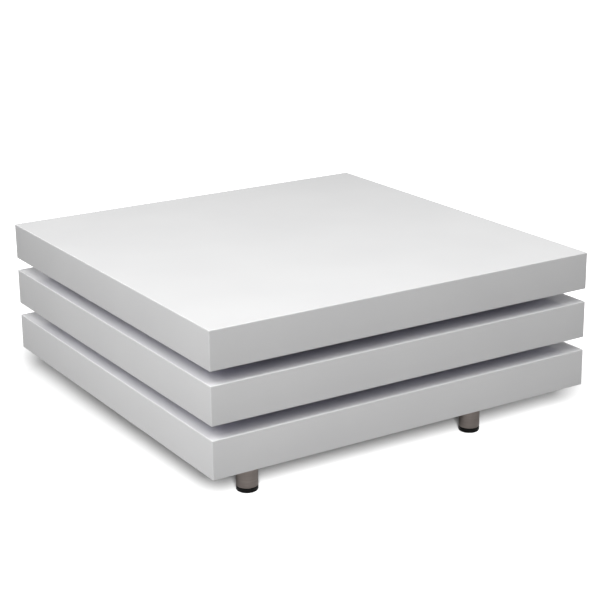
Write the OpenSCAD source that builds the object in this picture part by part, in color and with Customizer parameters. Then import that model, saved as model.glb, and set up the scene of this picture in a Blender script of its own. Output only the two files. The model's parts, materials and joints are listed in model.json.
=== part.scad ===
// Low square coffee table: three hollow lacquered slabs, stacked with open gaps.
// The upper two slabs turn all the way round on two flat ball swivels that share one
// upright axis, set off-centre towards the back right corner. Four tube legs carry the base slab.
// Frame: millimetres, +Z up, origin on the floor under the centre of the slabs, front face at -Y.

/* [Slabs] */
// Side of each square slab
slab_w = 800; // [740:10:900]
// Thickness of each slab
slab_t = 70; // [66:1:90]
// Open gap between two slabs
gap = 25; // [24:1:40]
// Radius of the upright corners of a slab
corner_r = 2; // [1:0.5:6]
// Thickness of the lacquered skin and of the bottom board
skin_t = 9; // [8:1:12]

/* [Core] */
// Thickness of a core strip
strip_t = 12; // [9:1:14]
// Distance between the middles of two core strips
strip_pitch = 130; // [128:1:132]
// Thickness of a swivel block
block_t = 18; // [16:1:20]
// Side of a square swivel block
swivel_block_w = 260; // [220:2:280]
// Height of a leg block
leg_block_h = 34; // [28:1:34]
// Side of a square leg block
leg_block_w = 100; // [90:2:120]

/* [Legs] */
// Height from the floor to the base slab
leg_h = 110; // [70:1:200]
// Distance of a leg's axis from the middle of the table, along both sides
leg_offset = 250; // [240:1:300]
// Outer diameter of a leg tube
tube_d = 40; // [36:1:42]
// Wall thickness of a leg tube
tube_wall = 1.5; // [1:0.1:2.5]
// Visible height of a plastic glide
glide_h = 10; // [6:0.5:14]
// Depth of a glide's spigot inside its tube
spigot_h = 15; // [10:1:25]
// Diameter of a leg's mounting plate
leg_plate_d = 70; // [68:1:80]

/* [Swivels] */
// Distance of the swivel axis from the middle of the table, along both sides
pivot_offset = 150; // [140:1:155]
// Diameter of a swivel plate
swivel_d = 260; // [240:2:280]
// Thickness of a swivel plate
plate_t = 3; // [3:0.5:4]
// Diameter of the ball circle
ball_circle_d = 220; // [200:2:224]
// Ball diameter
ball_d = 6; // [5:0.5:6]
// Number of balls in a swivel
ball_count = 24; // [12:4:32]
// Diameter of the round spacer over a swivel
spacer_d = 300; // [280:2:300]
// Diameter of the pivot pin
pin_d = 16; // [12:1:16]
// Radial running clearance of the pin in its bush
pin_clearance = 0.05; // [0.02:0.01:0.1]

/* [Hidden] */
$fn = 96;
ball_facets = 32;
through = 1;                       // how far a cutting shape runs past a face

inner_w = slab_w - 2 * skin_t;     // inside width of a casing
core_h = slab_t - 2 * skin_t;      // inside height of a slab

base_z = leg_h;                    // undersides of the slabs, and the floors of the gaps
lower_gap_z = base_z + slab_t;
middle_z = lower_gap_z + gap;
upper_gap_z = middle_z + slab_t;
top_z = upper_gap_z + gap;

plate_gap = 4;                     // between the two plates of a swivel
swivel_h = 2 * plate_t + plate_gap;
ball_z = plate_t + plate_gap / 2;  // ball centres above the gap's floor
groove_r = ball_d / 2 + 0.4;
cage_t = 2;
cage_w = 16;
pocket_r = ball_d / 2 + 0.2;

pin_r = pin_d / 2;
pin_collar_r = 18;
pin_collar_h = 2;
pin_top = 15;                      // top of the pin above the gap's floor
thrust_gap = 0.2;                  // free height under the bush and under the washer
bush_wall = 2;
bush_flange_r = 16;
washer_r = 15;
washer_t = 2;
washer_z = swivel_h + thrust_gap;
circlip_z = washer_z + washer_t;
circlip_t = 1.2;
circlip_r = 11;
circlip_depth = 1;
circlip_opening = 7;
spacer_hole_r = 25;

bolt_r = 3;                        // bolts from inside a slab up into the plate above it
bolt_circle_r = 85;
bolt_head_r = 5;
bolt_head_h = 4;
bolt_angles = [0 : 90 : 270];

screw_r = 2;                       // countersunk screws from a top plate up into the next slab
screw_circle_r = 60;
screw_head_r = 4;
screw_head_h = 2.2;
screw_angles = [22.5 : 45 : 337.5];
screw_bite = 11;                   // length of a screw inside its block
screw_length = plate_t + (gap - swivel_h) + skin_t + screw_bite;
access_hole_r = 7;
access_angle = 225;

leg_screw_r = 2;
leg_screw_circle_r = 27.5;
leg_screw_head_r = 3.6;
leg_screw_head_h = 2.4;
leg_screw_length = 25;
leg_screw_angles = [45 : 90 : 315];
leg_plate_t = 3;
leg_boss_h = 12;
leg_boss_wall = 4;
glide_chamfer = 1.5;

BACK_RIGHT = [1, 1];
BACK_LEFT = [-1, 1];
FRONT_RIGHT = [1, -1];
FRONT_LEFT = [-1, -1];
CORNERS = [FRONT_LEFT, FRONT_RIGHT, BACK_LEFT, BACK_RIGHT];

// ---- Places ----

module at_pivot(z) {
    translate([pivot_offset, pivot_offset, z]) children();
}

module at_leg(corner) {
    translate([corner[0] * leg_offset, corner[1] * leg_offset, 0]) children();
}

// Copies of the children round the Z axis
module ring_of(angles, radius) {
    for (a = angles) rotate([0, 0, a]) translate([radius, 0, 0]) children();
}

// ---- Slabs ----

module rounded_square(w, r) {
    square([w, w - 2 * r], center = true);
    square([w - 2 * r, w], center = true);
    for (c = CORNERS) translate(c * (w / 2 - r)) circle(r);
}

module square_block(w, h) {
    translate([0, 0, h / 2]) cube([w, w, h], center = true);
}

// Bolt shanks of a swivel, as a cutting shape or as the bolts' own shanks
module bolt_shanks(from_z, to_z) {
    at_pivot(from_z) ring_of(bolt_angles, bolt_circle_r) cylinder(h = to_z - from_z, r = bolt_r);
}

module screw_shanks(from_z, to_z) {
    at_pivot(from_z) ring_of(screw_angles, screw_circle_r) cylinder(h = to_z - from_z, r = screw_r);
}

module leg_screw_shanks(from_z, to_z) {
    for (c = CORNERS) at_leg(c) translate([0, 0, from_z])
        ring_of(leg_screw_angles, leg_screw_circle_r) cylinder(h = to_z - from_z, r = leg_screw_r);
}

// Top panel and four sides, folded from one lacquered board and open below
module casing(z, has_swivel_above) {
    color("white") difference() {
        translate([0, 0, z]) linear_extrude(slab_t) rounded_square(slab_w, corner_r);
        translate([0, 0, z - through]) square_block(inner_w, core_h + skin_t + through);
        if (has_swivel_above) bolt_shanks(z + core_h + skin_t - through, z + slab_t + through);
    }
}

module bottom_board(z) {
    color("white") difference() {
        translate([0, 0, z]) square_block(inner_w, skin_t);
        if (z == base_z) leg_screw_shanks(z - through, z + skin_t + through);
        else screw_shanks(z - through, z + skin_t + through);
    }
}

// Square block between the bottom board and the space above it
module lower_block(z) {
    at_pivot(z + skin_t) square_block(swivel_block_w, block_t);
}

// Square block under the top panel
module upper_block(z) {
    at_pivot(z + slab_t - skin_t - block_t) square_block(swivel_block_w, block_t);
}

module leg_blocks(z) {
    for (c = CORNERS) at_leg(c) translate([0, 0, z + skin_t]) square_block(leg_block_w, leg_block_h);
}

// Crossed strips with a rim, glued between the top panel and the bottom board
module core_strips(z) {
    reach = floor((inner_w / 2 - strip_t) / strip_pitch);
    rim = inner_w / 2 - strip_t / 2;
    places = concat([-rim], [for (i = [-reach : reach]) i * strip_pitch], [rim]);
    for (p = places, turn = [0, 90])
        rotate([0, 0, turn]) translate([p, 0, z + skin_t + core_h / 2])
            cube([strip_t, inner_w, core_h], center = true);
}

module lower_block_with_holes(z) {
    color("burlywood") difference() {
        lower_block(z);
        screw_shanks(z, z + skin_t + screw_bite);
    }
}

module upper_block_with_holes(z) {
    color("burlywood") difference() {
        upper_block(z);
        bolt_shanks(z + core_h + skin_t - block_t - through, z + core_h + skin_t + through);
    }
}

module base_casing() { casing(base_z, true); }
module middle_casing() { casing(middle_z, true); }
module top_casing() { casing(top_z, false); }

module base_bottom_board() { bottom_board(base_z); }
module middle_bottom_board() { bottom_board(middle_z); }
module top_bottom_board() { bottom_board(top_z); }

module base_core() {
    color("tan") difference() {
        core_strips(base_z);
        upper_block(base_z);
        leg_blocks(base_z);
    }
}

module middle_core() {
    color("tan") difference() {
        core_strips(middle_z);
        lower_block(middle_z);
        upper_block(middle_z);
    }
}

module top_core() {
    color("tan") difference() {
        core_strips(top_z);
        lower_block(top_z);
    }
}

module base_swivel_block() { upper_block_with_holes(base_z); }
module middle_upper_block() { upper_block_with_holes(middle_z); }
module middle_lower_block() { lower_block_with_holes(middle_z); }
module top_swivel_block() { lower_block_with_holes(top_z); }

module base_leg_blocks() {
    color("burlywood") difference() {
        leg_blocks(base_z);
        leg_screw_shanks(base_z, base_z + leg_screw_length - leg_plate_t);
    }
}

// ---- Legs ----

module leg_tube(corner) {
    length = leg_h - leg_plate_t - glide_h;
    color("silver") at_leg(corner) translate([0, 0, glide_h]) difference() {
        cylinder(h = length, d = tube_d);
        translate([0, 0, -through]) cylinder(h = length + 2 * through, d = tube_d - 2 * tube_wall);
    }
}

// Screw-on plate, with a hollow boss that the tube is pressed over
module leg_plate(corner) {
    boss_r = tube_d / 2 - tube_wall;
    color("silver") at_leg(corner) difference() {
        union() {
            translate([0, 0, leg_h - leg_plate_t]) cylinder(h = leg_plate_t, d = leg_plate_d);
            translate([0, 0, leg_h - leg_plate_t - leg_boss_h]) cylinder(h = leg_boss_h, r = boss_r);
        }
        translate([0, 0, leg_h - leg_plate_t - leg_boss_h - through])
            cylinder(h = leg_boss_h + through, r = boss_r - leg_boss_wall);
        translate([0, 0, leg_h - leg_plate_t - through])
            ring_of(leg_screw_angles, leg_screw_circle_r)
                cylinder(h = leg_plate_t + 2 * through, r = leg_screw_r);
    }
}

// Moulded foot with a chamfered sole and a spigot inside the tube
module leg_glide(corner) {
    foot_r = tube_d / 2;
    spigot_r = foot_r - tube_wall;
    color([0.06, 0.06, 0.06]) at_leg(corner) rotate_extrude() polygon([
        [0, 0],
        [foot_r - glide_chamfer, 0],
        [foot_r, glide_chamfer],
        [foot_r, glide_h],
        [spigot_r, glide_h],
        [spigot_r, glide_h + spigot_h],
        [0, glide_h + spigot_h]
    ]);
}

module leg_screws() {
    head_z = leg_h - leg_plate_t;
    color("silver") {
        leg_screw_shanks(head_z, head_z + leg_screw_length);
        for (c = CORNERS) at_leg(c) translate([0, 0, head_z - leg_screw_head_h])
            ring_of(leg_screw_angles, leg_screw_circle_r)
                cylinder(h = leg_screw_head_h, r = leg_screw_head_r);
    }
}

// ---- Swivels: z is the floor of the gap that the swivel sits in ----

module ball_groove() {
    rotate_extrude() translate([ball_circle_d / 2, ball_z]) circle(groove_r);
}

module swivel_base_plate(z) {
    color("silver") at_pivot(z) difference() {
        cylinder(h = plate_t, d = swivel_d);
        ball_groove();
        translate([0, 0, -through]) {
            cylinder(h = plate_t + 2 * through, r = pin_r);
            ring_of(bolt_angles, bolt_circle_r) cylinder(h = plate_t + 2 * through, r = bolt_r);
            ring_of([access_angle], screw_circle_r)
                cylinder(h = plate_t + 2 * through, r = access_hole_r);
        }
    }
}

module swivel_top_plate(z) {
    color("silver") at_pivot(z) difference() {
        translate([0, 0, swivel_h - plate_t]) cylinder(h = plate_t, d = swivel_d);
        ball_groove();
        translate([0, 0, swivel_h - plate_t - through])
            cylinder(h = plate_t + 2 * through, r = pin_r + bush_wall);
        ring_of(screw_angles, screw_circle_r) countersunk_screw(swivel_h - plate_t);
    }
}

module countersunk_screw(z) {
    translate([0, 0, z]) rotate_extrude() polygon([
        [0, 0],
        [screw_head_r, 0],
        [screw_r, screw_head_h],
        [screw_r, screw_length],
        [0, screw_length]
    ]);
}

module swivel_balls(z) {
    color("silver") at_pivot(z + ball_z)
        ring_of([for (i = [0 : ball_count - 1]) i * 360 / ball_count], ball_circle_d / 2)
            sphere(d = ball_d, $fn = ball_facets);
}

module swivel_cage(z) {
    color("ivory") at_pivot(z + ball_z - cage_t / 2) difference() {
        cylinder(h = cage_t, r = ball_circle_d / 2 + cage_w / 2);
        translate([0, 0, -through])
            cylinder(h = cage_t + 2 * through, r = ball_circle_d / 2 - cage_w / 2);
        translate([0, 0, -through])
            ring_of([for (i = [0 : ball_count - 1]) i * 360 / ball_count], ball_circle_d / 2)
                cylinder(h = cage_t + 2 * through, r = pocket_r, $fn = ball_facets);
    }
}

module swivel_pin(z) {
    groove_pin_r = pin_r - circlip_depth;
    color("silver") at_pivot(z) rotate_extrude() polygon([
        [0, 0],
        [pin_r, 0],
        [pin_r, plate_t],
        [pin_collar_r, plate_t],
        [pin_collar_r, plate_t + pin_collar_h],
        [pin_r, plate_t + pin_collar_h],
        [pin_r, circlip_z],
        [groove_pin_r, circlip_z],
        [groove_pin_r, circlip_z + circlip_t],
        [pin_r, circlip_z + circlip_t],
        [pin_r, pin_top],
        [0, pin_top]
    ]);
}

module swivel_bush(z) {
    flange_z = plate_t + pin_collar_h + thrust_gap;
    plate_z = swivel_h - plate_t;
    color("ivory") at_pivot(z) rotate_extrude() polygon([
        [pin_r + pin_clearance, flange_z],
        [bush_flange_r, flange_z],
        [bush_flange_r, plate_z],
        [pin_r + bush_wall, plate_z],
        [pin_r + bush_wall, swivel_h],
        [pin_r + pin_clearance, swivel_h]
    ]);
}

module swivel_washer(z) {
    color("silver") at_pivot(z + washer_z) difference() {
        cylinder(h = washer_t, r = washer_r);
        translate([0, 0, -through]) cylinder(h = washer_t + 2 * through, r = pin_r + pin_clearance);
    }
}

module swivel_circlip(z) {
    color("dimgray") at_pivot(z + circlip_z) difference() {
        cylinder(h = circlip_t, r = circlip_r);
        translate([0, 0, -through]) cylinder(h = circlip_t + 2 * through, r = pin_r - circlip_depth);
        translate([circlip_r, 0, circlip_t / 2])
            cube([circlip_r + pin_r, circlip_opening, circlip_t + 2 * through], center = true);
    }
}

module swivel_spacer(z) {
    color("white") difference() {
        at_pivot(z + swivel_h) difference() {
            cylinder(h = gap - swivel_h, d = spacer_d);
            translate([0, 0, -through]) cylinder(h = gap - swivel_h + 2 * through, r = spacer_hole_r);
        }
        screw_shanks(z + swivel_h - through, z + gap + through);
    }
}

module swivel_bolts(z) {
    head_z = z - skin_t - block_t - bolt_head_h;
    color("silver") {
        bolt_shanks(head_z + bolt_head_h, z + plate_t);
        at_pivot(head_z) ring_of(bolt_angles, bolt_circle_r) cylinder(h = bolt_head_h, r = bolt_head_r);
    }
}

module swivel_screws(z) {
    color("silver") at_pivot(z) ring_of(screw_angles, screw_circle_r)
        countersunk_screw(swivel_h - plate_t);
}

base_casing();
base_bottom_board();
base_core();
base_swivel_block();
base_leg_blocks();
middle_casing();
middle_bottom_board();
middle_core();
middle_lower_block();
middle_upper_block();
top_casing();
top_bottom_board();
top_core();
top_swivel_block();
leg_tube(FRONT_LEFT);  // front_left_leg_tube
leg_plate(FRONT_LEFT);  // front_left_leg_plate
leg_glide(FRONT_LEFT);  // front_left_leg_glide
leg_tube(FRONT_RIGHT);  // front_right_leg_tube
leg_plate(FRONT_RIGHT);  // front_right_leg_plate
leg_glide(FRONT_RIGHT);  // front_right_leg_glide
leg_tube(BACK_LEFT);  // back_left_leg_tube
leg_plate(BACK_LEFT);  // back_left_leg_plate
leg_glide(BACK_LEFT);  // back_left_leg_glide
leg_tube(BACK_RIGHT);  // back_right_leg_tube
leg_plate(BACK_RIGHT);  // back_right_leg_plate
leg_glide(BACK_RIGHT);  // back_right_leg_glide
leg_screws();
swivel_base_plate(lower_gap_z);  // lower_swivel_base_plate
swivel_top_plate(lower_gap_z);  // lower_swivel_top_plate
swivel_balls(lower_gap_z);  // lower_swivel_balls
swivel_cage(lower_gap_z);  // lower_swivel_cage
swivel_pin(lower_gap_z);  // lower_swivel_pin
swivel_bush(lower_gap_z);  // lower_swivel_bush
swivel_washer(lower_gap_z);  // lower_swivel_washer
swivel_circlip(lower_gap_z);  // lower_swivel_circlip
swivel_spacer(lower_gap_z);  // lower_swivel_spacer
swivel_bolts(lower_gap_z);  // lower_swivel_bolts
swivel_screws(lower_gap_z);  // lower_swivel_screws
swivel_base_plate(upper_gap_z);  // upper_swivel_base_plate
swivel_top_plate(upper_gap_z);  // upper_swivel_top_plate
swivel_balls(upper_gap_z);  // upper_swivel_balls
swivel_cage(upper_gap_z);  // upper_swivel_cage
swivel_pin(upper_gap_z);  // upper_swivel_pin
swivel_bush(upper_gap_z);  // upper_swivel_bush
swivel_washer(upper_gap_z);  // upper_swivel_washer
swivel_circlip(upper_gap_z);  // upper_swivel_circlip
swivel_spacer(upper_gap_z);  // upper_swivel_spacer
swivel_bolts(upper_gap_z);  // upper_swivel_bolts
swivel_screws(upper_gap_z);  // upper_swivel_screws
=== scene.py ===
"""Looks for the three-slab swivel coffee table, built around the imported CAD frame. Metres, row frame."""

import json
import math

import bmesh
import bpy
from mathutils import Matrix, Vector

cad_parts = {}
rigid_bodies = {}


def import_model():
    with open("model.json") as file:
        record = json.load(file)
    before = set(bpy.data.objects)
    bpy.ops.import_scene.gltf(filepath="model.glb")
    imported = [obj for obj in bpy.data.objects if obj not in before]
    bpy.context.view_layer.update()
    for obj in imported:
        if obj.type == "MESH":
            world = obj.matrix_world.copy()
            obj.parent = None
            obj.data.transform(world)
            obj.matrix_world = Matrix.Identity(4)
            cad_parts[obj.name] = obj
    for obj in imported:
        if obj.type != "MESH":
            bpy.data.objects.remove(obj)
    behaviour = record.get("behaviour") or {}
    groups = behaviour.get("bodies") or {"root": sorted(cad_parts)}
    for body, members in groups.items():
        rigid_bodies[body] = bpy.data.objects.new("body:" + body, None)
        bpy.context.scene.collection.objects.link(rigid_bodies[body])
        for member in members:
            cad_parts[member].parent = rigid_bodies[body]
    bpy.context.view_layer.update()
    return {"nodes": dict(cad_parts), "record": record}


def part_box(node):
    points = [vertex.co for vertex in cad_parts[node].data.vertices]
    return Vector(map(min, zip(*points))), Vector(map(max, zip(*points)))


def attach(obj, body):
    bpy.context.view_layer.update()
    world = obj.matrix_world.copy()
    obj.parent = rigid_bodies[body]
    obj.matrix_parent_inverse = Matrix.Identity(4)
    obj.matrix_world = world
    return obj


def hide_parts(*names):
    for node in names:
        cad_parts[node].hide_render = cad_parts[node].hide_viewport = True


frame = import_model()

MM = 0.001
TURN = 2 * math.pi

# Edge and corner roundings of the lacquered boards
EDGE_RADIUS = 1.8 * MM
UPRIGHT_RADIUS = 2.0 * MM
RIM_RADIUS = 0.8 * MM
BOARD_RADIUS = 0.6 * MM
BOARD_CORNER_RADIUS = 1.0 * MM
SMALLEST_RADIUS = 0.15 * MM
JOINT_LINE = 0.3 * MM
ARC_STEPS = 6
SMALL_ARC_STEPS = 4

# Mesh limits: points closer than this are one point, and edges steeper than this stay sharp
MERGE_DISTANCE = 0.0001 * MM
SHARP_ANGLE = 35

LEGS = ("front_left", "front_right", "back_left", "back_right")
LEG_SEGMENTS = 128

# The floor's own white, the share of its glare that the table mirrors, and the distances from the table's
# middle between which it glows up to pure white
FLOOR_REACH = 40
PAPER_WHITE = 0.6
MIRRORED_SHARE = 0.05
GLOW_START = 0.64
GLOW_FULL = 0.9

# How much light the floor throws back, as (distance from the table's middle, share)
BOUNCE_NEAR = (0.5, 0.165)
BOUNCE_FAR = (2.3, 0.01)

# Soft glows of the studio round the table, as (azimuth, height, level), and how tightly each gathers
SURROUND_GLOWS = ((62, 8, 0.5), (260, 30, 0.22), (0, 90, 0.34))
GLOW_FOCUS = 3

# Soft boxes, as (name, place, width and depth, power), and what they are aimed at
TABLE_MIDDLE = (0, 0, 0.3)
TABLE_LIGHTS = (
    ("left_key", (-5.8, -0.1, 5.1), (4.3, 3.4), 312),
    ("high_left", (-3.1, 0.5, 5.1), (3.8, 1.9), 122),
    ("front_key", (0.2, -5.7, 4.9), (4.3, 3.4), 128),
    ("high_front", (1.0, -3.1, 5.1), (3.8, 1.9), 70),
    ("over_corner", (-1.3, -1.5, 5.1), (2.9, 2.9), 70),
)
UNDER_TABLE = (0, 0, 0.1)
FLOOR_LIGHTS = (("low_floor_light", (-2.2, -3.88, 2.2), (1.2, 0.8), 1000),)

# The camera: place in metres, angles in degrees, lens and sensor in millimetres
CAMERA_PLACE = (-1.5206, -2.4677, 1.1677)
CAMERA_HEADING = 57.99
CAMERA_DROP = 17.68
CAMERA_ROLL = -0.68
CAMERA_LENS = 93.6
CAMERA_SENSOR = 36
CAMERA_REACH = 200


# ---------------------------------------------------------------- mesh helpers


def finished(name, bm, materials, sharp_angle=SHARP_ANGLE):
    """Turns a bmesh into an object with smooth faces, sharp where two faces meet at a steep angle."""
    bmesh.ops.remove_doubles(bm, verts=bm.verts, dist=MERGE_DISTANCE)
    bmesh.ops.recalc_face_normals(bm, faces=bm.faces)
    for face in bm.faces:
        face.smooth = True
    limit = math.radians(sharp_angle)
    for edge in bm.edges:
        if len(edge.link_faces) == 2 and edge.calc_face_angle() > limit:
            edge.smooth = False
    mesh = bpy.data.meshes.new(name)
    bm.to_mesh(mesh)
    bm.free()
    for material in materials:
        mesh.materials.append(material)
    piece = bpy.data.objects.new(name, mesh)
    bpy.context.scene.collection.objects.link(piece)
    return piece


def arc(centre, radius, start, end, steps=ARC_STEPS):
    """Points of an arc round a centre in a profile plane; angles in degrees, both ends included."""
    points = []
    for i in range(steps + 1):
        a = math.radians(start + (end - start) * i / steps)
        points.append((centre[0] + radius * math.cos(a), centre[1] + radius * math.sin(a)))
    return points


def rounded_square(half, radius, z, steps=ARC_STEPS):
    """Points of a square with round corners, anticlockwise from above."""
    points = []
    for corner in range(4):
        start = 90 * corner
        sign_x = 1 if corner in (0, 3) else -1
        sign_y = 1 if corner in (0, 1) else -1
        centre = (sign_x * (half - radius), sign_y * (half - radius))
        points += [Vector((x, y, z)) for x, y in arc(centre, radius, start, start + 90, steps)]
    return points


def bridge(bm, low, high, material=0):
    """Joins two rings of the same length with quads."""
    count = len(low)
    for i in range(count):
        j = (i + 1) % count
        bm.faces.new((low[i], low[j], high[j], high[i])).material_index = material


def stack_rings(bm, rings, materials):
    """Lofts rings of points into a closed skin. materials holds one index for each band of faces."""
    made = [[bm.verts.new(p) for p in ring] for ring in rings]
    for i in range(len(made) - 1):
        bridge(bm, made[i], made[i + 1], materials[i])
    bm.faces.new(list(reversed(made[0]))).material_index = materials[0]
    bm.faces.new(made[-1]).material_index = materials[-1]


def square_profile_ring(half, inset, z, radius):
    """A ring of a rounded square, drawn in by inset; the corner radius shrinks with it."""
    return rounded_square(half - inset, max(radius - inset, SMALLEST_RADIUS), z)


def lathe(name, profile, centre, materials, segments, sharp_angle=SHARP_ANGLE):
    """Turns a profile of (radius, height) points round an upright axis through centre.
    A profile that starts or ends at radius 0 closes there; any other one closes on itself."""
    bm = bmesh.new()
    rings = []
    for radius, z in profile:
        if radius < MERGE_DISTANCE:
            rings.append([bm.verts.new((centre.x, centre.y, z))])
            continue
        ring = []
        for i in range(segments):
            a = TURN * i / segments
            ring.append(bm.verts.new((centre.x + radius * math.cos(a), centre.y + radius * math.sin(a), z)))
        rings.append(ring)
    pairs = list(zip(rings, rings[1:]))
    if len(rings[0]) > 1 and len(rings[-1]) > 1:
        pairs.append((rings[-1], rings[0]))
    for low, high in pairs:
        for i in range(segments):
            j = (i + 1) % segments
            if len(low) == 1:
                corners = (low[0], high[j], high[i])
            elif len(high) == 1:
                corners = (low[i], low[j], high[0])
            else:
                corners = (low[i], low[j], high[j], high[i])
            bm.faces.new(corners)
    return finished(name, bm, materials, sharp_angle)


def place(piece, body, slot_name, *replaced):
    """Puts a piece on its CAD body, and hides the CAD nodes it stands for."""
    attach(piece, body)
    if replaced:
        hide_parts(*replaced)
    return piece


# ---------------------------------------------------------------- materials


class Nodes:
    """A short way to write a material's node tree."""

    def __init__(self, name):
        self.material = bpy.data.materials.new(name)
        self.material.use_nodes = True
        self.tree = self.material.node_tree
        self.shader = self.tree.nodes["Principled BSDF"]
        self.coords = self.tree.nodes.new("ShaderNodeTexCoord").outputs["Object"]

    def add(self, kind, **values):
        node = self.tree.nodes.new(kind)
        for key, value in values.items():
            setattr(node, key, value)
        return node

    def link(self, source, target):
        self.tree.links.new(source, target)

    def stretched(self, scale):
        """Object coordinates, in metres, stretched by a scale along each axis."""
        node = self.add("ShaderNodeMapping")
        node.inputs["Scale"].default_value = scale
        self.link(self.coords, node.inputs["Vector"])
        return node.outputs["Vector"]

    def noise(self, scale, detail=2.0, roughness=0.5, vector=None):
        node = self.add("ShaderNodeTexNoise")
        node.inputs["Scale"].default_value = scale
        node.inputs["Detail"].default_value = detail
        node.inputs["Roughness"].default_value = roughness
        self.link(vector or self.coords, node.inputs["Vector"])
        return node.outputs["Fac"]

    def ramp(self, value, low, high, out_low, out_high):
        """Maps a value's range to another range, clamped."""
        node = self.add("ShaderNodeMapRange")
        ends = (("From Min", low), ("From Max", high), ("To Min", out_low), ("To Max", out_high))
        for key, number in ends:
            node.inputs[key].default_value = number
        self.link(value, node.inputs["Value"])
        return node.outputs["Result"]

    def math(self, operation, first, second):
        node = self.add("ShaderNodeMath", operation=operation)
        for socket, value in zip(node.inputs, (first, second)):
            if isinstance(value, (int, float)):
                socket.default_value = value
            else:
                self.link(value, socket)
        return node.outputs["Value"]

    def mix(self, factor, first, second):
        """Mixes two colours by a factor."""
        node = self.add("ShaderNodeMix", data_type="RGBA")
        self.link(factor, node.inputs["Factor"])
        for key, colour in ((6, first), (7, second)):
            if isinstance(colour, tuple):
                node.inputs[key].default_value = (*colour, 1)
            else:
                self.link(colour, node.inputs[key])
        return node.outputs[2]

    def bump(self, height, strength, distance, normal=None):
        node = self.add("ShaderNodeBump")
        node.inputs["Strength"].default_value = strength
        node.inputs["Distance"].default_value = distance
        self.link(height, node.inputs["Height"])
        if normal is not None:
            self.link(normal, node.inputs["Normal"])
        return node.outputs["Normal"]

    def set(self, **values):
        """Sets the shader's own sockets; a socket's name is written with _ for a space."""
        for key, value in values.items():
            socket = self.shader.inputs[key.replace("_", " ")]
            if isinstance(value, bpy.types.NodeSocket):
                self.link(value, socket)
            elif isinstance(value, tuple) and len(value) == 3:
                socket.default_value = (*value, 1)
            else:
                socket.default_value = value
        return self


def gloss_lacquer():
    """White polyester lacquer, sprayed on board and polished: deep gloss with a faint orange peel."""
    n = Nodes("gloss_lacquer")
    cloud = n.noise(5, 2)
    haze = n.noise(14, 3)
    tone = n.mix(n.ramp(cloud, 0.35, 0.65, 0, 1), (0.712, 0.712, 0.716), (0.732, 0.732, 0.734))
    wave = n.noise(11, 1)
    peel = n.noise(150, 1, 0.4)
    normal = n.bump(wave, 0.05, 0.0008)
    normal = n.bump(peel, 0.04, 0.00006, normal)
    n.set(
        Base_Color=tone,
        Roughness=n.ramp(haze, 0.3, 0.7, 0.29, 0.35),
        Normal=normal,
        Coat_Normal=normal,
        Coat_Weight=1.0,
        Coat_Roughness=0.04,
        Coat_IOR=1.5,
        IOR=1.45,
    )
    return n.material


def satin_paint(name, dark, light):
    """Thin coat on an underside, duller than the lacquer, with the board's fibres showing a little."""
    n = Nodes(name)
    cloud = n.noise(11, 4)
    fibre = n.noise(160, 5, 0.65, n.stretched((1, 2.4, 1)))
    tone = n.mix(n.ramp(cloud, 0.3, 0.7, 0, 1), dark, light)
    n.set(
        Base_Color=tone,
        Roughness=n.ramp(fibre, 0.3, 0.7, 0.36, 0.5),
        Normal=n.bump(fibre, 0.12, 0.0003),
    )
    return n.material


def raw_board():
    """Bare medium-density fibreboard."""
    n = Nodes("raw_board")
    fibre = n.noise(260, 6, 0.7)
    cloud = n.noise(18, 3)
    tone = n.mix(n.ramp(fibre, 0.3, 0.7, 0, 1), (0.33, 0.22, 0.125), (0.52, 0.385, 0.245))
    tone = n.mix(n.ramp(cloud, 0.4, 0.7, 0, 0.35), tone, (0.42, 0.3, 0.185))
    n.set(
        Base_Color=tone,
        Roughness=n.ramp(fibre, 0.2, 0.8, 0.78, 0.92),
        Normal=n.bump(fibre, 0.35, 0.0004),
    )
    return n.material


def leg_steel():
    """Steel tube, brushed round its length, with a warm nickel tone."""
    n = Nodes("leg_steel")
    brush = n.noise(1.0, 4, 0.7, n.stretched((60, 60, 5200)))
    streak = n.noise(1.0, 2, 0.5, n.stretched((25, 25, 900)))
    smudge = n.noise(45, 4, 0.6)
    tone = n.mix(n.ramp(streak, 0.3, 0.7, 0, 1), (0.33, 0.285, 0.265), (0.41, 0.36, 0.335))
    tone = n.mix(n.ramp(smudge, 0.45, 0.75, 0, 0.3), tone, (0.29, 0.25, 0.235))
    rough = n.math("ADD", n.ramp(brush, 0.3, 0.7, 0.3, 0.4), n.ramp(smudge, 0.4, 0.7, 0, 0.05))
    n.set(
        Base_Color=tone,
        Metallic=1.0,
        Roughness=rough,
        Anisotropic=0.5,
        Normal=n.bump(brush, 0.18, 0.00006),
    )
    return n.material


def zinc_plate():
    """Bright zinc plating on pressed steel, with a faint blue and straw bloom."""
    n = Nodes("zinc_plate")
    bloom = n.noise(32, 3, 0.6)
    grain = n.noise(700, 3, 0.6)
    tone = n.mix(n.ramp(bloom, 0.35, 0.65, 0, 1), (0.53, 0.545, 0.58), (0.62, 0.6, 0.55))
    n.set(
        Base_Color=tone,
        Metallic=1.0,
        Roughness=n.ramp(grain, 0.3, 0.7, 0.27, 0.4),
        Normal=n.bump(grain, 0.12, 0.0001),
    )
    return n.material


def bearing_steel():
    """Ground, hardened and oiled steel."""
    n = Nodes("bearing_steel")
    oil = n.noise(120, 3, 0.6)
    scratch = n.noise(1.0, 3, 0.6, n.stretched((900, 900, 2600)))
    tone = n.mix(n.ramp(oil, 0.35, 0.7, 0, 1), (0.56, 0.56, 0.57), (0.44, 0.425, 0.4))
    n.set(
        Base_Color=tone,
        Metallic=1.0,
        Roughness=n.ramp(scratch, 0.3, 0.7, 0.12, 0.24),
        Normal=n.bump(scratch, 0.05, 0.00005),
    )
    return n.material


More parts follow.
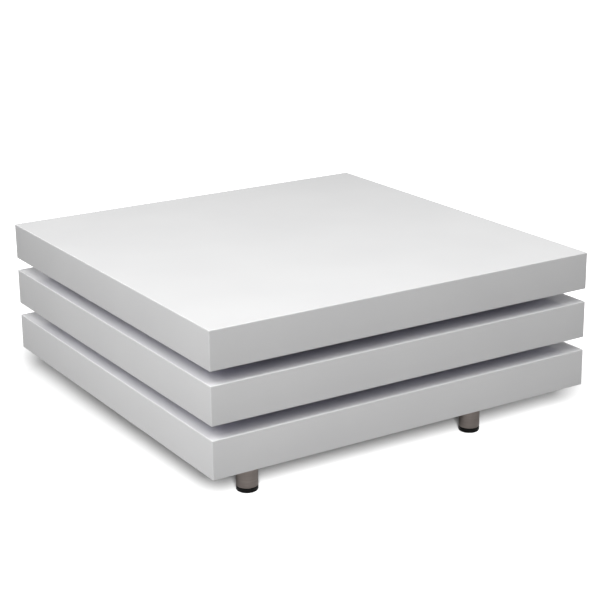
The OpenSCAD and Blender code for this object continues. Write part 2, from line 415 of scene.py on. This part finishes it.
def black_plastic():
    """Black moulded polyethylene: fine grain, scuffed dull near the floor."""
    n = Nodes("black_plastic")
    grain = n.noise(1500, 3, 0.6)
    scuff = n.noise(140, 4, 0.65)
    height = n.add("ShaderNodeSeparateXYZ")
    n.link(n.coords, height.inputs["Vector"])
    low = n.ramp(height.outputs["Z"], 0.0, 0.006, 1, 0)
    worn = n.math("MULTIPLY", low, n.ramp(scuff, 0.45, 0.65, 0, 0.8))
    tone = n.mix(worn, (0.004, 0.0038, 0.004), (0.02, 0.019, 0.018))
    n.set(
        Base_Color=tone,
        Specular_IOR_Level=0.25,
        Roughness=n.math("ADD", n.ramp(grain, 0.3, 0.7, 0.34, 0.44), n.math("MULTIPLY", worn, 0.25)),
        Normal=n.bump(grain, 0.15, 0.00008),
    )
    return n.material


def nylon():
    """Natural nylon, slightly cloudy."""
    n = Nodes("nylon")
    cloud = n.noise(150, 3)
    tone = n.mix(n.ramp(cloud, 0.35, 0.65, 0, 1), (0.62, 0.585, 0.49), (0.7, 0.67, 0.59))
    n.set(
        Base_Color=tone,
        Roughness=n.ramp(cloud, 0.3, 0.7, 0.38, 0.5),
        Subsurface_Weight=0.15,
        Subsurface_Scale=0.002,
        Normal=n.bump(cloud, 0.08, 0.0001),
    )
    return n.material


LACQUER = gloss_lacquer()
# Painted shade: the undersides of the middle and top slabs are tinted lavender so that their bounce tints
# the shade in the gaps lavender.
GAP_SHADE_TINT_PAINT = satin_paint("lavender_gap_shade_paint", (0.63, 0.62, 0.77), (0.67, 0.66, 0.81))
# Painted shade: the base's underside is a darker neutral grey than the other undersides, so little light
# bounces under the base and the floor shadow there stays dark and neutral.
SHADOW_DARKENING_GREY = satin_paint("shadow_darkening_grey", (0.34, 0.34, 0.34), (0.38, 0.38, 0.38))
BOARD = raw_board()
LEG_STEEL = leg_steel()
ZINC = zinc_plate()
BEARING = bearing_steel()
PLASTIC = black_plastic()
NYLON = nylon()
SLOT_MATERIALS = {
    "white_lacquer": LACQUER,
    "raw_board": BOARD,
    "leg_steel": LEG_STEEL,
    "zinc_steel": ZINC,
    "bearing_steel": BEARING,
    "black_plastic": PLASTIC,
    "nylon": NYLON,
}


# ---------------------------------------------------------------- slabs


def casing(slab, body):
    """A lacquered tray: top panel and four sides with soft edges outside, bare board inside."""
    node = f"{slab}_casing"
    low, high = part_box(node)
    board_low, board_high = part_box(f"{slab}_bottom_board")
    half = (high.x - low.x) / 2
    inner = (board_high.x - board_low.x) / 2
    skin = half - inner
    lacquer, bare = 0, 1
    rings = []
    bands = []

    def ring(inset, z, radius, material):
        rings.append(square_profile_ring(half, inset, z, radius))
        bands.append(material)

    # From the top panel over the outer edge, down the side, round the rim and up the bare inside
    for out, up in arc((0, 0), EDGE_RADIUS, 90, 0):
        ring(EDGE_RADIUS - out, high.z - EDGE_RADIUS + up, UPRIGHT_RADIUS, lacquer)
    for out, up in arc((0, 0), RIM_RADIUS, 0, -90):
        ring(RIM_RADIUS - out, low.z + RIM_RADIUS + up, UPRIGHT_RADIUS, lacquer)
    for out, up in arc((0, 0), RIM_RADIUS, 270, 180):
        ring(skin + out, low.z + RIM_RADIUS + up, UPRIGHT_RADIUS + skin, lacquer)
    ring(skin, high.z - skin, UPRIGHT_RADIUS + skin, bare)
    bm = bmesh.new()
    stack_rings(bm, rings, bands[1:] + [bare])
    bm.faces.ensure_lookup_table()
    top = max(bm.faces, key=lambda f: f.calc_center_median().z)
    top.material_index = lacquer
    piece = finished(f"{slab}_lacquered_casing", bm, [LACQUER, BOARD])
    return place(piece, body, "white_lacquer", node)


def bottom_board(slab, body, coat):
    """The inset board under a slab: coated below, bare above, with a fine joint line round it."""
    node = f"{slab}_bottom_board"
    low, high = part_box(node)
    half = (high.x - low.x) / 2 - JOINT_LINE
    rings = []
    for start, height in ((-90, low.z + BOARD_RADIUS), (0, high.z - BOARD_RADIUS)):
        for out, up in arc((0, 0), BOARD_RADIUS, start, start + 90):
            rings.append(square_profile_ring(half, BOARD_RADIUS - out, height + up, BOARD_CORNER_RADIUS))
    bm = bmesh.new()
    coated, bare = 0, 1
    stack_rings(bm, rings, [coated] * ARC_STEPS + [bare] * (ARC_STEPS + 1))
    piece = finished(f"{slab}_painted_bottom_board", bm, [coat, BOARD])
    return place(piece, body, "white_lacquer", node)


# ---------------------------------------------------------------- legs


def centre_of(node):
    low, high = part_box(node)
    return (low + high) / 2


def leg_tube(leg):
    """A brushed tube with broken edges at both cut ends."""
    node = f"{leg}_leg_tube"
    low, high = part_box(node)
    outer = (high.x - low.x) / 2
    bore = glide_spigot_radius(leg)
    edge = 0.35 * MM
    profile = []
    profile += arc((outer - edge, low.z + edge), edge, -90, 0, SMALL_ARC_STEPS)
    profile += arc((outer - edge, high.z - edge), edge, 0, 90, SMALL_ARC_STEPS)
    profile += [(bore, high.z), (bore, low.z)]
    piece = lathe(f"{leg}_brushed_tube", profile, centre_of(node), [LEG_STEEL], LEG_SEGMENTS)
    return place(piece, "base", "leg_steel", node)


def glide_spigot_radius(leg):
    """The spigot is the part of a glide above the lower end of its tube."""
    glide = frame["nodes"][f"{leg}_leg_glide"]
    tube_low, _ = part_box(f"{leg}_leg_tube")
    axis = centre_of(f"{leg}_leg_glide").xy
    well_inside = 1 * MM
    inside = [v.co for v in glide.data.vertices if v.co.z > tube_low.z + well_inside]
    return max((p.xy - axis).length for p in inside)


def leg_glide(leg):
    """A black foot: rounded sole, parting line, a shadow groove under the tube, spigot inside it."""
    node = f"{leg}_leg_glide"
    low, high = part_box(node)
    tube_low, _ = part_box(f"{leg}_leg_tube")
    outer = (high.x - low.x) / 2
    spigot = glide_spigot_radius(leg)
    seat = tube_low.z
    # The sole is hollowed a little in the middle and rounded at its edge
    hollow_depth = 0.25 * MM
    hollow_floor = 0.42 * outer
    hollow_rim = 0.46 * outer
    sole_radius = 3.2 * MM
    # The mould's parting line is a fine groove round the foot
    parting_height = 4.75 * MM
    parting_half_width = 0.15 * MM
    parting_depth = 0.12 * MM
    # Under the tube, a groove sets the foot's lip off
    lip = 0.5 * MM
    groove_height = 0.35 * MM
    groove_depth = 1.1 * MM
    profile = [(0, low.z + hollow_depth), (hollow_floor, low.z + hollow_depth), (hollow_rim, low.z)]
    profile += arc((outer - sole_radius, low.z + sole_radius), sole_radius, -90, 0)
    profile += [
        (outer, low.z + parting_height - parting_half_width),
        (outer - parting_depth, low.z + parting_height),
        (outer, low.z + parting_height + parting_half_width),
    ]
    profile += arc((outer - lip, seat - groove_height - lip), lip, 0, 90, SMALL_ARC_STEPS)
    profile += [(outer - groove_depth, seat - groove_height), (outer - groove_depth, seat), (spigot, seat)]
    profile += arc((spigot - lip, high.z - lip), lip, 0, 90, SMALL_ARC_STEPS)
    profile += [(0, high.z)]
    name = f"{leg}_moulded_glide"
    piece = lathe(name, profile, centre_of(node), [PLASTIC], LEG_SEGMENTS, sharp_angle=50)
    return place(piece, "base", "black_plastic", node)


def leg_plate(leg):
    """The zinc-plated plate over a leg, with a rolled rim and a turned boss inside the tube."""
    node = f"{leg}_leg_plate"
    low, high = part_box(node)
    _, tube_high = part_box(f"{leg}_leg_tube")
    outer = (high.x - low.x) / 2
    boss = glide_spigot_radius(leg)
    boss_wall = 4 * MM
    boss_chamfer = 0.6 * MM
    under = tube_high.z
    rim = 0.8 * MM
    top_edge = 0.3 * MM
    profile = [(0, under), (boss - boss_wall, under), (boss - boss_wall, low.z)]
    profile += [(boss - boss_chamfer, low.z), (boss, low.z + boss_chamfer), (boss, under)]
    profile += arc((outer - rim, under + rim), rim, -90, 0, SMALL_ARC_STEPS)
    profile += arc((outer - top_edge, high.z - top_edge), top_edge, 0, 90, 3)
    profile += [(0, high.z)]
    piece = lathe(f"{leg}_plated_leg_plate", profile, centre_of(node), [ZINC], LEG_SEGMENTS)
    return place(piece, "base", "zinc_steel", node)


def pan_screw(bm, axis, seat_z, head_height, shank_length, turn):
    """A pan-head screw that hangs under seat_z, with a cross recess, and its shank above."""
    segments = 32
    head_radius = 3.6 * MM
    shank_radius = 2 * MM
    dome = 1.1 * MM
    slot_half = 0.42 * MM
    slot_reach = 0.62 * head_radius
    slot_depth = 1.5 * MM
    slot_taper = 0.55
    profile = [(shank_radius, seat_z + shank_length), (shank_radius, seat_z), (head_radius, seat_z)]
    profile += arc((head_radius - dome, seat_z - head_height + dome), dome, 0, -90, 5)
    rings = []
    for radius, z in profile:
        ring = []
        for i in range(segments):
            a = TURN * i / segments
            ring.append(bm.verts.new((axis.x + radius * math.cos(a), axis.y + radius * math.sin(a), z)))
        rings.append(ring)
    bm.faces.new(rings[0])
    for upper, lower in zip(rings, rings[1:]):
        bridge(bm, upper, lower)
    # The recess: a cross whose outline is joined to the head's flat, and whose floor narrows
    outline = []
    for quarter in range(4):
        a = turn + quarter * TURN / 4
        along = Vector((math.cos(a), math.sin(a)))
        across = Vector((-along.y, along.x))
        for reach, side in ((slot_half, -1), (slot_reach, -1), (slot_reach, 1)):
            outline.append(along * reach + across * side * slot_half)
    low_z = seat_z - head_height
    mouth = [bm.verts.new((*(axis + p), low_z)) for p in outline]
    floor_ring = [bm.verts.new((*(axis + p * slot_taper), low_z + slot_depth)) for p in outline]
    bridge(bm, mouth, floor_ring)
    bm.faces.new(floor_ring)
    fill_between(bm, rings[-1], mouth)


def fill_between(bm, outer, inner):
    """Fills the flat ring between two closed outlines."""
    edges = []
    for loop in (outer, inner):
        for i, vert in enumerate(loop):
            other = loop[(i + 1) % len(loop)]
            edges.append(bm.edges.get((vert, other)) or bm.edges.new((vert, other)))
    bmesh.ops.triangle_fill(bm, edges=edges, use_beauty=True)


def leg_screws():
    """Four pan-head screws under each leg plate, each turned to its own angle."""
    node = "leg_screws"
    low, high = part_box(node)
    _, tube_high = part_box("front_left_leg_tube")
    seat_z = tube_high.z
    circle = 27.5 * MM
    bm = bmesh.new()
    for number, leg in enumerate(LEGS):
        leg_axis = centre_of(f"{leg}_leg_tube").xy
        for quarter in range(4):
            a = TURN * (quarter + 0.5) / 4
            axis = leg_axis + circle * Vector((math.cos(a), math.sin(a)))
            turn = 0.7 * number + 1.9 * quarter
            pan_screw(bm, axis, seat_z, seat_z - low.z, high.z - seat_z, turn)
    piece = finished("pan_head_leg_screws", bm, [ZINC])
    return place(piece, "base", "zinc_steel", node)


# ---------------------------------------------------------------- swivels


def spacer(level, body):
    """The round lacquered disc between a swivel and the slab over it."""
    node = f"{level}_swivel_spacer"
    low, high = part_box(node)
    outer = (high.y - low.y) / 2
    bore = 25 * MM
    edge = 1.2 * MM
    profile = [(bore, high.z), (bore, low.z)]
    profile += arc((outer - edge, low.z + edge), edge, -90, 0)
    profile += arc((outer - edge, high.z - edge), edge, 0, 90)
    piece = lathe(f"{level}_lacquered_spacer", profile, centre_of(node), [LACQUER], 160)
    return place(piece, body, "white_lacquer", node)


def dress_cad_nodes():
    """Gives every CAD node that still shows the material of its slot."""
    slots = {entry["node"]: entry["material_slot"] for entry in frame["record"]["subparts"]}
    for name, node in frame["nodes"].items():
        if node.hide_render:
            continue
        material = SLOT_MATERIALS[slots[name]]
        if not node.material_slots:
            node.data.materials.append(material)
        for entry in node.material_slots:
            entry.material = material


SLABS = (("base", "base", SHADOW_DARKENING_GREY), ("middle", "middle_slab", GAP_SHADE_TINT_PAINT), ("top", "top_slab", GAP_SHADE_TINT_PAINT))
for slab_name, body_name, underside in SLABS:
    casing(slab_name, body_name)
    bottom_board(slab_name, body_name, underside)
for leg_name in LEGS:
    leg_tube(leg_name)
    leg_glide(leg_name)
    leg_plate(leg_name)
leg_screws()
spacer("lower", "middle_slab")
spacer("upper", "top_slab")
dress_cad_nodes()


# ---------------------------------------------------------------- stage, light and camera


def floor():
    """A plain white studio floor. The camera sees it overexposed, as a product shot's floor is, and it
    glows to pure white away from the table. The table gets only a share of its light, most of it from
    the floor close by, and mirrors only a share of its glare."""
    bm = bmesh.new()
    corners = ((-1, -1), (1, -1), (1, 1), (-1, 1))
    bm.faces.new([bm.verts.new((x * FLOOR_REACH, y * FLOOR_REACH, 0)) for x, y in corners])
    n = Nodes("studio_floor")
    from_middle = n.add("ShaderNodeVectorMath", operation="LENGTH")
    n.link(n.coords, from_middle.inputs[0])
    distance = from_middle.outputs["Value"]
    n.set(
        Base_Color=n.ramp(distance, BOUNCE_NEAR[0], BOUNCE_FAR[0], BOUNCE_NEAR[1], BOUNCE_FAR[1]),
        Roughness=0.9,
        Specular_IOR_Level=0.1,
    )
    glow = n.add("ShaderNodeEmission")
    n.link(n.ramp(distance, GLOW_START, GLOW_FULL, 0, 1), glow.inputs["Strength"])
    paper = n.add("ShaderNodeBsdfDiffuse")
    paper.inputs["Color"].default_value = (PAPER_WHITE, PAPER_WHITE, PAPER_WHITE, 1)
    seen = n.add("ShaderNodeAddShader")
    n.link(glow.outputs["Emission"], seen.inputs[0])
    n.link(paper.outputs["BSDF"], seen.inputs[1])
    path = n.add("ShaderNodeLightPath").outputs
    choice = n.add("ShaderNodeMixShader")
    mirrored = n.math("MULTIPLY", path["Is Glossy Ray"], MIRRORED_SHARE)
    n.link(n.math("MAXIMUM", path["Is Camera Ray"], mirrored), choice.inputs["Fac"])
    n.link(n.shader.outputs["BSDF"], choice.inputs[1])
    n.link(seen.outputs["Shader"], choice.inputs[2])
    n.link(choice.outputs["Shader"], n.tree.nodes["Material Output"].inputs["Surface"])
    finished("floor", bm, [n.material])


def direction_to(azimuth, height):
    """The unit vector towards an azimuth and a height above the horizon, both in degrees."""
    around = math.radians(azimuth)
    above = math.radians(height)
    return Vector((math.cos(around) * math.cos(above), math.sin(around) * math.cos(above), math.sin(above)))


def world():
    """Dark studio surround with soft glows, each round its own direction.
    Where the camera sees past the floor it is white."""
    scene_world = bpy.data.worlds.new("studio")
    bpy.context.scene.world = scene_world
    scene_world.use_nodes = True
    tree = scene_world.node_tree
    direction = tree.nodes.new("ShaderNodeTexCoord").outputs["Generated"]
    total = None
    for azimuth, height, level in SURROUND_GLOWS:
        facing = tree.nodes.new("ShaderNodeVectorMath")
        facing.operation = "DOT_PRODUCT"
        facing.inputs[1].default_value = direction_to(azimuth, height)
        tree.links.new(direction, facing.inputs[0])
        ahead = tree.nodes.new("ShaderNodeMath")
        ahead.operation = "MAXIMUM"
        ahead.inputs[1].default_value = 0
        tree.links.new(facing.outputs["Value"], ahead.inputs[0])
        lobe = tree.nodes.new("ShaderNodeMath")
        lobe.operation = "POWER"
        lobe.inputs[1].default_value = GLOW_FOCUS
        tree.links.new(ahead.outputs["Value"], lobe.inputs[0])
        share = tree.nodes.new("ShaderNodeMath")
        share.operation = "MULTIPLY_ADD"
        share.inputs[1].default_value = level
        share.inputs[2].default_value = 0
        tree.links.new(lobe.outputs["Value"], share.inputs[0])
        if total is not None:
            tree.links.new(total, share.inputs[2])
        total = share.outputs["Value"]
    seen = tree.nodes.new("ShaderNodeMix")
    tree.links.new(tree.nodes.new("ShaderNodeLightPath").outputs["Is Camera Ray"], seen.inputs["Factor"])
    tree.links.new(total, seen.inputs["A"])
    seen.inputs["B"].default_value = 1
    tree.links.new(seen.outputs["Result"], tree.nodes["Background"].inputs["Color"])


def area_light(name, location, target, size, power, lit):
    """A rectangular soft box, aimed at a target, that lights only the objects of one collection."""
    data = bpy.data.lights.new(name, "AREA")
    data.shape = "RECTANGLE"
    data.size, data.size_y = size
    data.energy = power
    lamp = bpy.data.objects.new(name, data)
    bpy.context.scene.collection.objects.link(lamp)
    lamp.location = location
    lamp.rotation_euler = (Vector(target) - Vector(location)).to_track_quat("-Z", "Y").to_euler()
    lamp.light_linking.receiver_collection = lit


def light_the_studio():
    """Five soft boxes light the table only, and one low soft box behind the camera lights the floor only,
    so that the shadow under the table stays narrow."""
    table = bpy.data.collections.new("lit_table")
    ground = bpy.data.collections.new("lit_floor")
    for thing in bpy.context.scene.objects:
        if thing.type == "MESH":
            (ground if thing.name == "floor" else table).objects.link(thing)
    for name, location, size, power in TABLE_LIGHTS:
        area_light(name, location, TABLE_MIDDLE, size, power, table)
    for name, location, size, power in FLOOR_LIGHTS:
        area_light(name, location, UNDER_TABLE, size, power, ground)


def camera():
    """Looks down on the front left corner from across the room."""
    data = bpy.data.cameras.new("camera")
    data.sensor_width = CAMERA_SENSOR
    data.lens = CAMERA_LENS
    data.clip_end = CAMERA_REACH
    eye = bpy.data.objects.new("camera", data)
    bpy.context.scene.collection.objects.link(eye)
    look = direction_to(CAMERA_HEADING, -CAMERA_DROP).to_track_quat("-Z", "Y").to_matrix().to_4x4()
    roll = Matrix.Rotation(math.radians(CAMERA_ROLL), 4, "Z")
    eye.matrix_world = Matrix.Translation(CAMERA_PLACE) @ look @ roll
    bpy.context.scene.camera = eye


floor()
world()
light_the_studio()
camera()
bpy.context.scene.view_settings.view_transform = "Standard"
